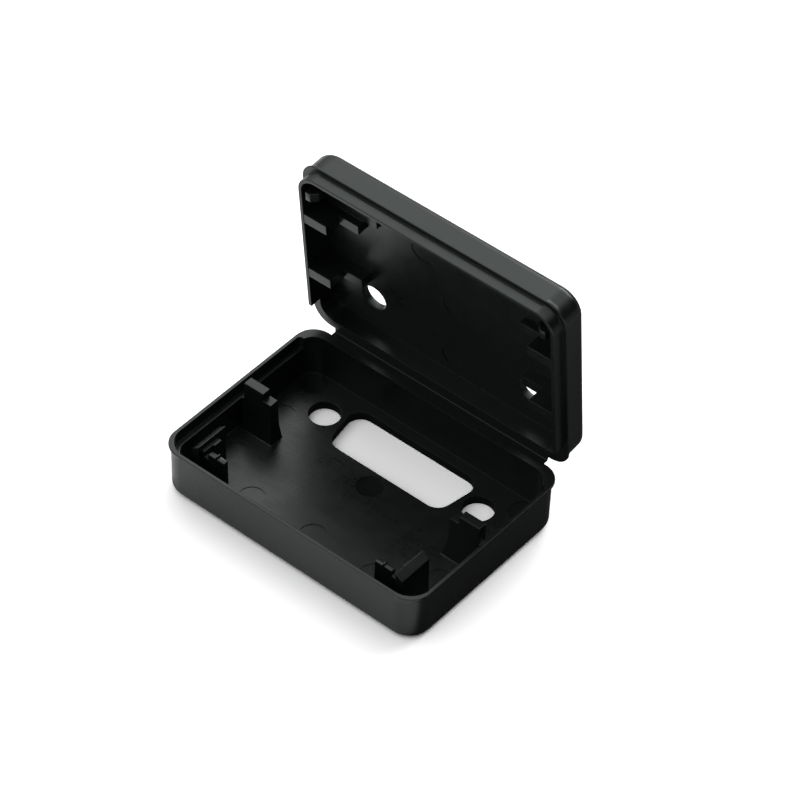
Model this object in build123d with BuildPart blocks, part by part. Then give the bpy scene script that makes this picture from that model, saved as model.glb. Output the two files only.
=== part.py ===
from build123d import *
import os
from math import cos, radians, sin, tan

# Clamshell housing for a small circuit board, moulded in one shot of polypropylene.
#
# A deep base tray and a shallower lid share one living hinge. The board sits on seats
# inside the base and the lid's stepped ribs clamp it there. Its connector faces out
# through the D-shaped window in the base floor, between the two jackscrew holes.
#
# Frame: X runs along the hinge, Y from the open front edge to the hinge, Z up.
# The origin is the middle of the base's underside. All sizes are in millimetres and
# degrees. The housing is drawn with its lid standing open.

os.makedirs("parts", exist_ok=True)

# ---------------------------------------------------------------- driving dimensions

# Shells
length = 40.8              # along the hinge
width = 28.5               # front edge to hinge edge
corner_radius = 3.3        # plan corners of both shells
edge_radius = 1.2          # outer edge round the floor of each shell
wall = 1.1                 # side walls of both shells, at the rim
wall_draft = 0.5           # degrees, lets the shells leave the mould

# Thin lip that stands out from the walls all round each rim
rim_lip = 0.1
rim_lip_height = 0.25
rim_lip_radius = 2.9       # plan corners of the lip
rim_break = 0.1            # tiny radius on the lip's outer edge
hinge_lip = 0.2            # the lip is wider where it meets the hinge film

base_height = 7.5
base_floor = 1.3
lid_depth = 3.8
lid_floor = 1.1

# Living hinge, half of its film on each shell
lid_open_angle = 83.8      # from closed to the pose that is drawn
hinge_reach = 0.8          # from each wall to the fold line
film_thickness = 0.3
seam_gap = 0.1             # left between the two rims when the lid is shut

# Tongue on the lid and rebate in the base, round the three free sides
rim_land = 0.4             # outer lip of the base that keeps its full height
tongue_clearance = 0.13    # beside the tongue and under it
tongue_height = 1.62       # above the lid's rim
tongue_tip_radius = 0.12   # leads the tongue into the rebate
tongue_setback = 3.9       # from the lid's hinge wall to the tongue's ends
rebate_run_out = 1.2       # the rebate goes on this far past the tongue's ends
rebate_end_radius = 0.5    # left by the round cutter at the rebate's ends

# Connector window and jackscrew holes
screw_spacing = 25.0
screw_to_hinge_edge = 6.35
base_screw_radius = 2.1
lid_screw_radius = 1.9
window_land = 0.75         # left between the window's ends and the jackscrew holes
window_height = 7.25
window_side_angle = 10.0   # degrees, each end of the D
window_corner_radius = 2.0

# Board seat, shared by the posts and ribs of both shells
board_side_gap = 3.6       # from the board's edges to the side walls
board_clearance = 0.05     # each side, between the board and what locates it
board_seat_drop = 0.05     # the board's underside lies this far below the base's rim
clamp_gap = 1.03           # from the seats up to the lid's clamping ribs

# Middle posts, one at each end of the tray
mid_post_y = 0.4           # middle of the post's top
mid_post_thickness = 1.3
mid_post_wall_gap = 0.4    # between the post and the side wall
mid_seat_width = 1.25
mid_post_rise = 1.17       # above the board seat
mid_post_crease_z = 3.4    # the foot spreads faster below this
mid_post_crease_spread = 0.25
mid_post_foot_spread = 0.75
mid_post_back_spread = 0.15

# Corner posts, L-shaped in plan, near the tray's front corners
corner_post_front_gap = 0.9    # between the tall leg and the front wall
corner_post_length = 5.1
corner_post_thickness = 1.12
corner_post_rise = 0.87        # above the board seat
corner_shoulder_rise = 0.03
corner_seat_width = 0.67       # board seat along the inside of the tall leg
corner_seat_length = 2.95
corner_seat_pad = 1.3          # only this much of its length is full width
corner_ledge_width = 0.4       # the rest of it
short_leg_length = 2.6
short_leg_gap = 1.05           # from the board's edge to the short leg
short_leg_thickness = 0.75
short_leg_setback = 0.6        # behind the front of the tall leg
short_leg_web_drop = 0.9       # the web to the tall leg stays below the seat
crush_rib_width = 0.25
crush_rib_height = 0.38
post_flare = 0.15              # extra width at the foot of each leg

# Clamping ribs in the lid: a low step on the board, a tall step beside it
rib_thickness = 1.55
rib_overlap = 3.1          # length of the low step, over the board
rib_tip_setback = 0.06     # the tall step is this much shorter than the tongue
rear_rib_offset = 3.95     # from the screw holes forward to the rear ribs
front_rib_gap = 0.5        # between the corner posts and the front ribs

# Corner guides in the lid, which slide down outside the corner posts
guide_clearance = 0.2
guide_offset = 1.75        # from the front of the tall leg to the middle of the guide
guide_thickness = 1.4
guide_width = 1.55
guide_chamfer = 0.8
guide_tip_rise = 0.1       # the guides reach this far past the tongue

# Raised pads in the lid's front corners
pad_width = 8.8
pad_length = 6.5
pad_height = 0.75

# Ejector-pin marks: places from the middle of each shell
ejector_radius = 1.75
ejector_depth = 0.08
side_ejectors = ((16.9, 11.0), (16.4, 4.2), (16.4, -4.5), (9.8, -9.1))
middle_ejector_y = (1.9, -8.9)
lid_ejectors = ((0.2, 10.2), (0.7, 0.3), (-3.9, -6.4))

# ---------------------------------------------------------------- worked-out places

inside_x = length / 2 - wall
inside_y = width / 2 - wall
fold_y = width / 2 + hinge_reach
fold_z = base_height
film_length = length - 2 * corner_radius
rebate_depth = tongue_height + tongue_clearance - seam_gap
rebate_end_y = width / 2 - tongue_setback + rebate_run_out
lip_middle = (hinge_lip - rim_lip) / 2
tongue_inset = rim_land + tongue_clearance
screw_y = width / 2 - screw_to_hinge_edge
window_width = screw_spacing - 2 * (base_screw_radius + window_land)
window_slope = window_height / 2 * tan(radians(window_side_angle))

# What stands on the floor starts at the bottom of the ejector marks
foot_z = base_floor - ejector_depth
board_seat_z = base_height - board_seat_drop
board_stop_x = inside_x - board_side_gap + board_clearance
mid_seat_x = board_stop_x - mid_seat_width
mid_post_outer_x = inside_x - mid_post_wall_gap
tall_leg_front_y = corner_post_front_gap - inside_y
tall_leg_outer_x = board_stop_x + corner_post_thickness
corner_seat_x = board_stop_x - corner_seat_width
corner_ledge_x = board_stop_x - corner_ledge_width
short_leg_front_y = tall_leg_front_y + short_leg_setback
short_leg_outer_x = board_stop_x - short_leg_gap
short_leg_inner_x = short_leg_outer_x - short_leg_length
crush_rib_x = (short_leg_inner_x + short_leg_outer_x) / 2
rear_rib_y = screw_y - rear_rib_offset
front_rib_y = tall_leg_front_y + corner_post_length + front_rib_gap + rib_thickness / 2
guide_y = tall_leg_front_y + guide_offset
guide_x = tall_leg_outer_x + guide_clearance

# The lid's own frame: x along the hinge, y from the fold to the free edge, and its
# normal out of the lid's mouth. Lid depth is counted the other way, into the lid.
open_angle = radians(lid_open_angle)
lid_frame = Plane(
    origin=(0, fold_y, fold_z),
    x_dir=(1, 0, 0),
    z_dir=(0, -sin(open_angle), -cos(open_angle)),
)
lid_rim = lid_frame.offset(-seam_gap)
lid_inside = lid_rim.offset(lid_floor - lid_depth)
lid_middle_v = hinge_reach + width / 2
lid_floor_w = seam_gap + lid_depth - lid_floor


def lid_v(y):
    """Distance from the fold of what meets the place y of the base once shut."""
    return fold_y - y


def across_base(y):
    """A plane across the base at y, facing the hinge: sketch axes are -X and Z."""
    return Plane(origin=(0, y, 0), x_dir=(-1, 0, 0), z_dir=(0, 1, 0))


def across_lid(v):
    """A plane across the lid at v from the fold: sketch axes are X and lid depth."""
    return Plane(origin=lid_frame.from_local_coords((0, v, 0)), x_dir=(1, 0, 0), z_dir=lid_frame.y_dir)


def both_sides(points):
    """The outline of points, (x, height), at the right and again mirrored at the left."""
    for side in (1, -1):
        Polygon([(side * x, height) for x, height in points], align=None)


# ---------------------------------------------------------------- base tray

with BuildPart() as base:
    # Outer block, drafted, with the edge round its floor rounded
    with BuildSketch(Plane.XY.offset(base_height)):
        RectangleRounded(length, width, corner_radius)
    extrude(amount=-base_height, taper=wall_draft)
    fillet(base.faces().sort_by(Axis.Z)[0].edges(), radius=edge_radius)

    # Lip round the rim, wider towards the hinge, with its outer edge broken
    with BuildSketch(Plane.XY.offset(base_height)):
        with Locations((0, lip_middle)):
            RectangleRounded(length + 2 * rim_lip, width + rim_lip + hinge_lip, rim_lip_radius)
    extrude(amount=-rim_lip_height)
    fillet(base.faces().sort_by(Axis.Z)[-1].edges(), radius=rim_break)

    # Inside of the tray
    with BuildSketch(Plane.XY.offset(base_height)):
        RectangleRounded(2 * inside_x, 2 * inside_y, corner_radius - wall)
    extrude(amount=base_floor - base_height, taper=wall_draft, mode=Mode.SUBTRACT)

    # Rebate for the lid's tongue, which stops short of the hinge
    with BuildSketch(Plane.XY.offset(base_height)):
        RectangleRounded(length - 2 * rim_land, width - 2 * rim_land, corner_radius - rim_land)
        with Locations((0, rebate_end_y - width)):
            Rectangle(length, 2 * width, mode=Mode.INTERSECT)
        fillet(vertices().group_by(Axis.Y)[-1], radius=rebate_end_radius)
    extrude(amount=-rebate_depth, mode=Mode.SUBTRACT)

    # Ejector-pin marks in the floor
    with BuildSketch(Plane.XY.offset(base_floor)):
        with Locations([(side * x, y) for side in (1, -1) for x, y in side_ejectors]):
            Circle(ejector_radius)
        with Locations([(0, y) for y in middle_ejector_y]):
            Circle(ejector_radius)
    extrude(amount=-ejector_depth, mode=Mode.SUBTRACT)

    # Middle posts: foot, crease and top are the three sections of a ruled loft
    post_sections = (
        (foot_z, mid_post_foot_spread, mid_post_back_spread),
        (mid_post_crease_z, mid_post_crease_spread, mid_post_back_spread / 2),
        (board_seat_z + mid_post_rise, 0, 0),
    )
    for side in (1, -1):
        for z, spread, back_spread in post_sections:
            inner_x = side * (mid_seat_x - spread)
            outer_x = side * mid_post_outer_x
            front_y = mid_post_y - mid_post_thickness / 2 - spread
            back_y = mid_post_y + mid_post_thickness / 2 + back_spread
            with BuildSketch(Plane.XY.offset(z)):
                Polygon(
                    (inner_x, front_y), (outer_x, front_y), (outer_x, back_y), (inner_x, back_y),
                    align=None,
                )
        loft(ruled=True)

    # Board seats cut into the middle posts, and webs that tie the posts to the walls
    with BuildSketch(Plane.XY.offset(board_seat_z)):
        with Locations((mid_seat_x, mid_post_y), (-mid_seat_x, mid_post_y)):
            Rectangle(2 * mid_seat_width, 2 * mid_post_thickness)
    extrude(amount=2 * mid_post_rise, mode=Mode.SUBTRACT)
    web_length = length / 2 - rim_land - mid_post_outer_x
    web_x = mid_post_outer_x + web_length / 2
    with BuildSketch(Plane.XY.offset(foot_z)):
        with Locations((web_x, mid_post_y), (-web_x, mid_post_y)):
            Rectangle(web_length, mid_post_thickness)
    extrude(amount=base_height - rebate_depth - foot_z)

    # Corner posts: tall leg with a sloping shoulder outside the board's edge
    tall_leg = [
        (board_stop_x, foot_z),
        (board_stop_x, board_seat_z + corner_post_rise),
        (tall_leg_outer_x, board_seat_z + corner_shoulder_rise),
        (tall_leg_outer_x + post_flare, foot_z),
    ]
    with BuildSketch(across_base(tall_leg_front_y)):
        both_sides(tall_leg)
    extrude(amount=corner_post_length)

    # Board seat along the inside of the tall leg: a narrow ledge that ends in a wider pad
    seat_back_y = short_leg_front_y + corner_seat_length
    pad_front_y = seat_back_y - corner_seat_pad
    for front_y, seat_x in ((short_leg_front_y, corner_ledge_x), (pad_front_y, corner_seat_x)):
        corner_seat = [
            (board_stop_x, foot_z),
            (board_stop_x, board_seat_z),
            (seat_x, board_seat_z),
            (seat_x - post_flare, foot_z),
        ]
        with BuildSketch(across_base(front_y)):
            both_sides(corner_seat)
        extrude(amount=seat_back_y - front_y)

    # Short leg, with a crush rib across its seat and a lower web to the tall leg
    crush_rib_top_z = board_seat_z + crush_rib_height
    web_z = board_seat_z - short_leg_web_drop
    short_leg = [
        (short_leg_inner_x - post_flare, foot_z),
        (short_leg_inner_x, board_seat_z),
        (crush_rib_x - crush_rib_width / 2, board_seat_z),
        (crush_rib_x - crush_rib_width / 2, crush_rib_top_z),
        (crush_rib_x + crush_rib_width / 2, crush_rib_top_z),
        (crush_rib_x + crush_rib_width / 2, board_seat_z),
        (short_leg_outer_x, board_seat_z),
        (short_leg_outer_x, web_z),
        (board_stop_x, web_z),
        (board_stop_x, foot_z),
    ]
    with BuildSketch(across_base(short_leg_front_y)):
        both_sides(short_leg)
    extrude(amount=short_leg_thickness)

    # Connector window: a D, widest towards the hinge
    with BuildSketch(Plane.XY):
        with BuildLine():
            Polyline(
                (window_width / 2 + window_slope, screw_y + window_height / 2),
                (-window_width / 2 - window_slope, screw_y + window_height / 2),
                (-window_width / 2 + window_slope, screw_y - window_height / 2),
                (window_width / 2 - window_slope, screw_y - window_height / 2),
                close=True,
            )
        make_face()
        fillet(vertices(), radius=window_corner_radius)
        with Locations((screw_spacing / 2, screw_y), (-screw_spacing / 2, screw_y)):
            Circle(base_screw_radius)
    extrude(amount=2 * base_floor, mode=Mode.SUBTRACT)

    # The base's half of the hinge film, from inside the wall to the fold line
    with BuildSketch(Plane.XY.offset(base_height)):
        with Locations((0, fold_y - (hinge_reach + wall / 2) / 2)):
            Rectangle(film_length, hinge_reach + wall / 2)
    extrude(amount=-film_thickness)

base.part.label = "base"
export_step(base.part, "parts/base.step")

# ---------------------------------------------------------------- lid

with BuildPart() as lid:
    # Outer block and lip, drafted, rounded and broken like those of the base
    mouth_axis = Axis(lid_frame.origin, lid_frame.z_dir)
    with BuildSketch(lid_rim):
        with Locations((0, lid_middle_v)):
            RectangleRounded(length, width, corner_radius)
    extrude(amount=-lid_depth, taper=wall_draft)
    fillet(lid.faces().sort_by(mouth_axis)[0].edges(), radius=edge_radius)
    with BuildSketch(lid_rim):
        with Locations((0, lid_middle_v - lip_middle)):
            RectangleRounded(length + 2 * rim_lip, width + rim_lip + hinge_lip, rim_lip_radius)
    extrude(amount=-rim_lip_height)
    fillet(lid.faces().sort_by(mouth_axis)[-1].edges(), radius=rim_break)

    # Inside of the lid
    with BuildSketch(lid_rim):
        with Locations((0, lid_middle_v)):
            RectangleRounded(2 * inside_x, 2 * inside_y, corner_radius - wall)
    extrude(amount=lid_floor - lid_depth, taper=wall_draft, mode=Mode.SUBTRACT)

    # Tongue round the three free sides
    with BuildSketch(lid_rim):
        with Locations((0, lid_middle_v)):
            RectangleRounded(
                length - 2 * tongue_inset, width - 2 * tongue_inset, corner_radius - tongue_inset
            )
            RectangleRounded(2 * inside_x, 2 * inside_y, corner_radius - wall, mode=Mode.SUBTRACT)
        with Locations((0, hinge_reach + tongue_setback + width)):
            Rectangle(length, 2 * width, mode=Mode.INTERSECT)
    extrude(amount=tongue_height)
    fillet(lid.faces().sort_by(mouth_axis)[-1].edges(), radius=tongue_tip_radius)

    # Clamping ribs: their low step holds the board down, their tall step locates it
    wall_bite_x = length / 2 - (wall + tongue_inset) / 2
    clamp_w = board_seat_z + clamp_gap - fold_z
    tall_w = seam_gap - tongue_height + rib_tip_setback
    clamping_rib = [
        (board_stop_x - rib_overlap, lid_floor_w),
        (board_stop_x - rib_overlap, clamp_w),
        (board_stop_x, clamp_w),
        (board_stop_x, tall_w),
        (wall_bite_x, tall_w),
        (wall_bite_x, lid_floor_w),
    ]
    for y in (rear_rib_y, front_rib_y):
        with BuildSketch(across_lid(lid_v(y) - rib_thickness / 2)):
            both_sides(clamping_rib)
        extrude(amount=rib_thickness)

    # Corner guides, chamfered at their tips to ride over the posts' shoulders
    guide_tip_w = seam_gap - tongue_height - guide_tip_rise
    corner_guide = [
        (guide_x, lid_floor_w),
        (guide_x, guide_tip_w + guide_chamfer),
        (guide_x + guide_chamfer, guide_tip_w),
        (guide_x + guide_width, guide_tip_w),
        (guide_x + guide_width, lid_floor_w),
    ]
    with BuildSketch(across_lid(lid_v(guide_y) - guide_thickness / 2)):
        both_sides(corner_guide)
    extrude(amount=guide_thickness)

    # Raised pads in the two front corners of the lid floor
    with BuildSketch(lid_inside):
        with Locations((0, lid_middle_v)):
            RectangleRounded(2 * inside_x, 2 * inside_y, corner_radius - wall)
        with Locations((0, lid_v(pad_length - inside_y) + width / 2)):
            Rectangle(length, width, mode=Mode.INTERSECT)
            Rectangle(2 * (inside_x - pad_width), width, mode=Mode.SUBTRACT)
    extrude(amount=pad_height)

    # Jackscrew holes in line with those of the base
    with BuildSketch(lid_rim):
        with Locations((screw_spacing / 2, lid_v(screw_y)), (-screw_spacing / 2, lid_v(screw_y))):
            Circle(lid_screw_radius)
    extrude(amount=-2 * lid_depth, mode=Mode.SUBTRACT)

    # Ejector-pin marks in the floor
    with BuildSketch(lid_inside):
        with Locations([(x, lid_v(y)) for x, y in lid_ejectors]):
            Circle(ejector_radius)
    extrude(amount=-ejector_depth, mode=Mode.SUBTRACT)

    # The lid's half of the hinge film, from the fold line to inside the wall
    with BuildSketch(lid_rim):
        with Locations((0, (hinge_reach + wall / 2) / 2)):
            Rectangle(film_length, hinge_reach + wall / 2)
    extrude(amount=-film_thickness)

lid.part.label = "lid"
export_step(lid.part, "parts/lid.step")
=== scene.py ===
import math

import bmesh
import bpy
from mathutils import Matrix, Vector


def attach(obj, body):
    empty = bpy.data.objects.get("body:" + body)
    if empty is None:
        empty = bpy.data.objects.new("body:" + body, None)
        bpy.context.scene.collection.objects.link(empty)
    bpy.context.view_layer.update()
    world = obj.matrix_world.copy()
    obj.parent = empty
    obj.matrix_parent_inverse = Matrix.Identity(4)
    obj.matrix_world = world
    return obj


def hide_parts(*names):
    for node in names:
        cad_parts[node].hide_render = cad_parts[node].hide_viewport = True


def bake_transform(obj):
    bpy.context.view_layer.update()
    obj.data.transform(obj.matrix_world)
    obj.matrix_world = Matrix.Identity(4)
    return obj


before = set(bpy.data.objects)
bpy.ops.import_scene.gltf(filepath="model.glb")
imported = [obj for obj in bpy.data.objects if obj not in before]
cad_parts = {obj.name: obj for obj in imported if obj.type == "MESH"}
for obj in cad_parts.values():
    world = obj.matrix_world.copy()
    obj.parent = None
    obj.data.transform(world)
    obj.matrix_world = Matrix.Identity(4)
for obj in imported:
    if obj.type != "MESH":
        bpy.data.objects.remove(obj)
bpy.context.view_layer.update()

# ---------------------------------------------------------------- camera

AZIMUTH = math.radians(39.676)      # the camera stands in front and to the right
ELEVATION = math.radians(45.027)
ROLL = math.radians(1.281)
DISTANCE = 0.477117
AIM_RIGHT, AIM_UP = -0.002767, 0.012366
FOCAL_PX, FRAME_PX = 3844.6, 800.0
SHIFT_X_PX, SHIFT_Y_PX = 62.7, 2.4


def add_camera():
    """A long lens, aimed by its own right, up and back directions."""
    right = Vector((math.cos(AZIMUTH), math.sin(AZIMUTH), 0))
    back = Vector((
        math.sin(AZIMUTH) * math.cos(ELEVATION),
        -math.cos(AZIMUTH) * math.cos(ELEVATION),
        math.sin(ELEVATION),
    ))
    up = back.cross(right)
    rolled_right = math.cos(ROLL) * right + math.sin(ROLL) * up
    rolled_up = -math.sin(ROLL) * right + math.cos(ROLL) * up
    place = DISTANCE * back + AIM_RIGHT * rolled_right + AIM_UP * rolled_up
    data = bpy.data.cameras.new("camera")
    data.sensor_width = 36.0
    data.lens = FOCAL_PX / FRAME_PX * data.sensor_width
    data.shift_x = SHIFT_X_PX / FRAME_PX
    data.shift_y = SHIFT_Y_PX / FRAME_PX
    data.clip_start, data.clip_end = 0.01, 10.0
    camera = bpy.data.objects.new("camera", data)
    axes = Matrix((rolled_right, rolled_up, back)).transposed().to_4x4()
    camera.matrix_world = Matrix.Translation(place) @ axes
    bpy.context.scene.collection.objects.link(camera)
    bpy.context.scene.camera = camera


# ---------------------------------------------------------------- materials

PLASTIC_IOR = 1.49
PLASTIC_TINT = (0.92, 1.0, 0.98, 1)
DARKEST, LIGHTEST = (0.0030, 0.0040, 0.0038, 1), (0.0060, 0.0074, 0.0070, 1)
SMOOTH, ROUGH = 0.27, 0.34                 # roughness where the mottling is smoothest and roughest
LID_ROUGHER = 0.02
RELIEF_DEPTH = 0.00002
LID_TOOLING = 0.05                         # how much of the tray floor's tool marks the lid shows

# Ejector-pin marks in the tray's floor: places from its middle, and the pins' radius
SIDE_PINS = ((0.0169, 0.0110), (0.0164, 0.0042), (0.0164, -0.0045), (0.0098, -0.0091))
MIDDLE_PINS = ((0.0, 0.0019), (0.0, -0.0089))
PIN_RADIUS = 0.00175
POLISHED_PINS = (SIDE_PINS[0], MIDDLE_PINS[0])
HALF_LENGTH, HALF_WIDTH = 0.0204, 0.01425


class Nodes:
    """Short calls for building the node tree of a material or of the world."""

    def __init__(self, owner):
        owner.use_nodes = True
        self.tree = owner.node_tree
        self.tree.nodes.clear()

    def add(self, kind, inputs=(), **settings):
        node = self.tree.nodes.new("ShaderNode" + kind)
        for name, value in settings.items():
            setattr(node, name, value)
        for socket, value in dict(inputs).items():
            if isinstance(value, bpy.types.NodeSocket):
                self.tree.links.new(value, node.inputs[socket])
            else:
                node.inputs[socket].default_value = value
        return node

    def math(self, operation, *values):
        return self.add("Math", enumerate(values), operation=operation).outputs[0]

    def vector(self, operation, *values):
        return self.add("VectorMath", enumerate(values), operation=operation).outputs[0]

    def distance(self, place, point):
        return self.add("VectorMath", enumerate((place, point)), operation="DISTANCE").outputs["Value"]

    def noise(self, place, scale, detail, stretch=(1.0, 1.0, 1.0), turn=0.0):
        spread = self.add("Mapping", {"Vector": place, "Scale": stretch, "Rotation": (0.0, 0.0, turn)})
        return self.add(
            "TexNoise", {"Vector": spread.outputs[0], "Scale": scale, "Detail": detail, "Roughness": 0.6}
        ).outputs["Fac"]

    def span(self, value, low, high, to_low=0.0, to_high=1.0, smooth=True):
        """value from low to high, laid over to_low to to_high."""
        kind = "SMOOTHSTEP" if smooth else "LINEAR"
        return self.add(
            "MapRange",
            {"Value": value, "From Min": low, "From Max": high, "To Min": to_low, "To Max": to_high},
            interpolation_type=kind,
        ).outputs["Result"]

    def surface(self, kind, shader):
        """Sends a shader to the output of a Material or a World."""
        self.add("Output" + kind, {"Surface": shader.outputs[0]})


def pin_marks(made, place, pins):
    """1 on the discs left by these ejector pins in the tray's floor, 0 elsewhere."""
    flat = made.vector("MULTIPLY", place, (1.0, 1.0, 0.0))
    mirrored = made.vector("ABSOLUTE", made.vector("MULTIPLY", flat, (1.0, 0.0, 0.0)))
    folded = made.vector("ADD", mirrored, made.vector("MULTIPLY", flat, (0.0, 1.0, 0.0)))
    nearest = None
    for x, y in pins:
        away = made.distance(folded, (x, y, 0.0))
        nearest = away if nearest is None else made.math("MINIMUM", nearest, away)
    return made.span(nearest, PIN_RADIUS + 0.00006, PIN_RADIUS - 0.00006)


def black_plastic(name, rougher=0.0, tray=False):
    """Black polypropylene: spark-eroded satin, tool marks along the hinge on flat floors, faint mottling."""
    material = bpy.data.materials.new(name)
    made = Nodes(material)
    place = made.add("TexCoord").outputs["Object"]
    height = made.add("SeparateXYZ", {0: place}).outputs[2]
    grain = made.noise(place, 5200.0, 1.0)
    mottle = made.noise(place, 420.0, 4.0)
    clouds = made.noise(place, 110.0, 3.0, turn=0.5)
    marks = made.noise(place, 4200.0, 2.0, stretch=(0.02, 1.0, 1.0), turn=0.02)
    if tray:
        floor = made.math("MULTIPLY", made.span(height, 0.0016, 0.00133), made.span(height, 0.0009, 0.0012))
        pins = made.math("MULTIPLY", pin_marks(made, place, SIDE_PINS + MIDDLE_PINS), floor)
        polished = made.math("MULTIPLY", pin_marks(made, place, POLISHED_PINS), floor)
        tooled = made.math("SUBTRACT", floor, made.math("MULTIPLY", pins, 0.6))
    else:
        pins, polished, tooled = 0.0, 0.0, LID_TOOLING
    roughness = made.span(mottle, 0.25, 0.75, SMOOTH, ROUGH)
    roughness = made.math("ADD", roughness, made.span(clouds, 0.3, 0.7, -0.03, 0.03))
    streaks = made.math("MULTIPLY", made.span(marks, 0.3, 0.7, -0.025, 0.025), tooled)
    roughness = made.math("ADD", roughness, streaks)
    roughness = made.math("SUBTRACT", roughness, made.math("MULTIPLY", pins, 0.02))
    roughness = made.math("SUBTRACT", roughness, made.math("MULTIPLY", polished, 0.15))
    roughness = made.math("ADD", roughness, rougher)
    colour = made.add("ValToRGB", {"Fac": mottle})
    colour.color_ramp.elements[0].color = DARKEST
    colour.color_ramp.elements[1].color = LIGHTEST
    relief = made.math("MULTIPLY", grain, 0.07)
    relief = made.math("ADD", relief, made.math("MULTIPLY", mottle, 0.08))
    relief = made.math("ADD", relief, made.math("MULTIPLY", made.math("MULTIPLY", marks, tooled), 0.09))
    bump = made.add("Bump", {"Strength": 1.0, "Distance": RELIEF_DEPTH, "Height": relief})
    shader = made.add(
        "BsdfPrincipled",
        {"Base Color": colour.outputs["Color"], "Roughness": roughness, "IOR": PLASTIC_IOR,
         "Specular Tint": PLASTIC_TINT, "Normal": bump.outputs["Normal"]},
    )
    made.surface("Material", shader)
    return material


def white_floor():
    """White for the camera. In reflections and bounce light it is a floor with painted shade: white before
    the front and left walls, dark elsewhere near the housing, and with painted light far to its right.
    """
    material = bpy.data.materials.new("white_floor")
    made = Nodes(material)
    place = made.add("SeparateXYZ", {0: made.add("NewGeometry").outputs["Position"]})
    across, along = place.outputs[0], place.outputs[1]
    clear = made.math(
        "MAXIMUM", made.math("SUBTRACT", -HALF_LENGTH, across), made.math("SUBTRACT", -HALF_WIDTH, along)
    )
    # painted shade: the floor seen in reflections and bounce light is dark near the housing and white before
    # its front and left walls
    painted_floor_tone = made.span(clear, *FLOOR_EDGE, FLOOR_PAINTED_SHADE, FLOOR_BRIGHT)
    # painted light: that reflected floor grows lighter far to the right of the housing
    painted_far_light = made.span(across, *(HALF_LENGTH + reach for reach in FLOOR_RISE), 0.0, FLOOR_PAINTED_FAR_LIGHT)
    painted_floor_tone = made.math("ADD", painted_floor_tone, painted_far_light)
    tone = made.add("CombineColor", {0: painted_floor_tone, 1: painted_floor_tone, 2: painted_floor_tone})
    # reflections and bounce light see this floor with painted shade; the camera sees plain white
    painted_shade_floor = made.add("BsdfDiffuse", {"Color": tone.outputs[0]})
    seen = made.add("BsdfDiffuse", {"Color": (FLOOR_SEEN, FLOOR_SEEN, FLOOR_SEEN, 1)})
    ray = made.add("LightPath")
    mixed = made.add("MixShader", {0: ray.outputs["Is Camera Ray"], 1: painted_shade_floor.outputs[0], 2: seen.outputs[0]})
    made.surface("Material", mixed)
    return material


# ---------------------------------------------------------------- shells

EDGE_ROUNDING = 0.00008            # radius left on the sharp edges of posts, ribs, rims and holes
SHARP_ANGLE = math.radians(38)
SHORTEST_EDGE = 0.00003


def face_depth(face, edge):
    """How far a face reaches from one of its edges, square to that edge."""
    start, end = (v.co for v in edge.verts)
    across = face.normal.cross(end - start).normalized()
    return max(abs((v.co - start).dot(across)) for v in face.verts)


def moulded_edges(work):
    """The sharp edges whose faces on both sides are deep enough to carry a rounding."""
    chosen = []
    for edge in work.edges:
        if not edge.is_manifold or edge.calc_face_angle() < SHARP_ANGLE or edge.calc_length() < SHORTEST_EDGE:
            continue
        if min(face_depth(face, edge) for face in edge.link_faces) > 2.2 * EDGE_ROUNDING:
            chosen.append(edge)
    return chosen


def finished_shell(node, name, material):
    """A copy of a CAD shell with its sharp moulded edges slightly rounded."""
    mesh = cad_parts[node].data.copy()
    mesh.name = name
    work = bmesh.new()
    work.from_mesh(mesh)
    bmesh.ops.remove_doubles(work, verts=work.verts[:], dist=1e-6)
    bmesh.ops.dissolve_limit(
        work, angle_limit=math.radians(0.5), verts=work.verts[:], edges=work.edges[:]
    )
    bmesh.ops.bevel(
        work, geom=moulded_edges(work), offset=EDGE_ROUNDING, offset_type="OFFSET", segments=2,
        profile=0.5, affect="EDGES", clamp_overlap=False, loop_slide=True,
    )
    work.to_mesh(mesh)
    work.free()
    if "custom_normal" in mesh.attributes:
        mesh.attributes.remove(mesh.attributes["custom_normal"])
    mesh.shade_smooth()
    mesh.set_sharp_from_angle(angle=math.radians(32))
    shell = bpy.data.objects.new(name, mesh)
    bpy.context.scene.collection.objects.link(shell)
    flats = shell.modifiers.new("flats", "WEIGHTED_NORMAL")
    flats.mode = "FACE_AREA"
    flats.weight = 100
    flats.keep_sharp = True
    mesh.materials.clear()
    mesh.materials.append(material)
    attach(shell, node)
    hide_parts(node)


# ---------------------------------------------------------------- living hinge

FOLD = Vector((0.0, 0.01505, 0.0075))      # the line that the lid turns about
LID_LEAN = math.radians(83.8)              # how far the lid stands open from shut
HINGE_HALF_LENGTH = 0.0171
FILM = 0.0003
FOLD_GAP = 0.0001
SKIN = 0.000012                            # the bend's skin stands this far proud of the film's two halves
OVER_BASE = (0.00042, 0.0002, 0.00008)     # rows of points on the base's half, towards the fold
OVER_LID = (0.00008, 0.0002, 0.00035)      # and on the lid's half, away from it
BENDS, COLUMNS = 26, 24


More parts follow.
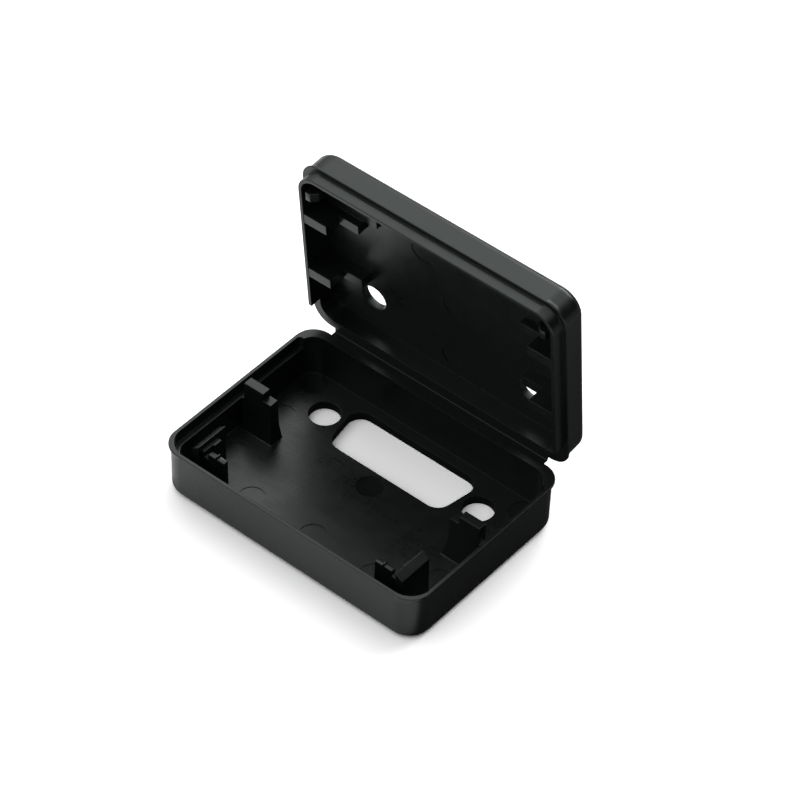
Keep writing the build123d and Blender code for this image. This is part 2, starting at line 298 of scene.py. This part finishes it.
def living_hinge(material):
    """The film's bend: one curved strip that joins the base's half of the film to the lid's half."""
    centre = Vector((FOLD.y, FOLD.z + FOLD_GAP))
    inner, outer = FOLD_GAP - SKIN, FOLD_GAP + FILM + SKIN
    turn = math.pi - LID_LEAN
    stations = []
    for back in OVER_BASE:
        stations.append((centre + Vector((-back, 0.0)), 0.0))
    for step in range(BENDS + 1):
        stations.append((centre, turn * step / BENDS))
    heading = Vector((math.cos(turn), math.sin(turn)))
    for ahead in OVER_LID:
        stations.append((centre + heading * ahead, turn))
    mesh = bpy.data.meshes.new("living_hinge")
    work = bmesh.new()
    rows = []
    for pivot, angle in stations:
        away = Vector((math.sin(angle), -math.cos(angle)))
        near, far = pivot + away * inner, pivot + away * outer
        row = []
        for column in range(COLUMNS + 1):
            x = HINGE_HALF_LENGTH * (2 * column / COLUMNS - 1)
            row.append((work.verts.new((x, near.x, near.y)), work.verts.new((x, far.x, far.y))))
        rows.append(row)
    for lower, upper in zip(rows, rows[1:]):
        for a, b, c, d in zip(lower, lower[1:], upper[1:], upper):
            work.faces.new((a[0], b[0], c[0], d[0]))
            work.faces.new((a[1], d[1], c[1], b[1]))
        for end in (0, COLUMNS):
            work.faces.new((lower[end][0], upper[end][0], upper[end][1], lower[end][1]))
    for row in (rows[0], rows[-1]):
        for a, b in zip(row, row[1:]):
            work.faces.new((a[0], a[1], b[1], b[0]))
    bmesh.ops.recalc_face_normals(work, faces=work.faces[:])
    work.to_mesh(mesh)
    work.free()
    mesh.shade_smooth()
    mesh.set_sharp_from_angle(angle=math.radians(50))
    mesh.materials.append(material)
    strip = bpy.data.objects.new("living_hinge", mesh)
    bpy.context.scene.collection.objects.link(strip)
    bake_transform(strip)


# ---------------------------------------------------------------- studio

# Floor tones seen in reflections and bounce light: painted shade near the housing, white away from it,
# painted light far to the right; last, the white that the camera sees
FLOOR_PAINTED_SHADE, FLOOR_BRIGHT, FLOOR_PAINTED_FAR_LIGHT, FLOOR_SEEN = 0.08, 1.00, 0.14, 1.55
FLOOR_EDGE = (-0.0015, 0.0010)             # where the painted shade of the reflected floor gives way to white, out from the walls
FLOOR_RISE = (0.012, 0.045)                # where painted light makes the reflected floor right of the housing grow lighter
FLOOR_HALF, FLOOR_DROP = 3.0, 0.00001
CEILING, WALLS, WALLS_LOW = 1.00, 0.95, 0.1
LIT_SIDE = (-0.93, -0.37, 0.0)


def add_floor():
    mesh = bpy.data.meshes.new("floor")
    half = FLOOR_HALF
    mesh.from_pydata(
        [(-half, -half, 0), (half, -half, 0), (half, half, 0), (-half, half, 0)], [], [(0, 1, 2, 3)]
    )
    floor = bpy.data.objects.new("floor", mesh)
    bpy.context.scene.collection.objects.link(floor)
    floor.location.z = -FLOOR_DROP
    mesh.materials.append(white_floor())


def add_lamp(name, place, target, size, power):
    data = bpy.data.lights.new(name, "AREA")
    data.shape = "RECTANGLE"
    data.size, data.size_y = size
    data.energy = power
    lamp = bpy.data.objects.new(name, data)
    lamp.location = place
    lamp.rotation_euler = (Vector(target) - Vector(place)).to_track_quat("-Z", "Y").to_euler()
    bpy.context.scene.collection.objects.link(lamp)


def add_world():
    """A plain soft room: an even ceiling, lit walls in front and to the left, and a dark right side."""
    world = bpy.data.worlds.new("studio")
    bpy.context.scene.world = world
    made = Nodes(world)
    direction = made.add("TexCoord").outputs["Generated"]
    rise = made.add("SeparateXYZ", {0: direction}).outputs[2]
    side = made.add("VectorMath", {0: direction, 1: LIT_SIDE}, operation="DOT_PRODUCT").outputs["Value"]
    walls = made.math("MULTIPLY", made.span(side, -0.3, 0.3), made.span(rise, 0.0, 0.45, WALLS_LOW, WALLS))
    ceiling = made.span(rise, 0.60, 0.85)
    lit_ceiling = made.math("MULTIPLY", ceiling, CEILING)
    lit_walls = made.math("MULTIPLY", made.math("SUBTRACT", 1.0, ceiling), walls)
    strength = made.math("ADD", lit_ceiling, lit_walls)
    made.surface("World", made.add("Background", {"Color": (1, 1, 1, 1), "Strength": strength}))


add_camera()
lid_plastic = black_plastic("lid_plastic", rougher=LID_ROUGHER)
finished_shell("base", "base_shell", black_plastic("base_plastic", tray=True))
finished_shell("lid", "lid_shell", lid_plastic)
living_hinge(lid_plastic)
add_floor()
add_world()
add_lamp("back_softbox", (0.0, 0.952, 0.73), (0, 0, 0), (1.0, 0.5), 8.5)
add_lamp("left_softbox", (-0.56, 0.46, 0.95), (0, 0, 0), (0.66, 0.60), 1.2)
bpy.context.scene.view_settings.view_transform = "Standard"
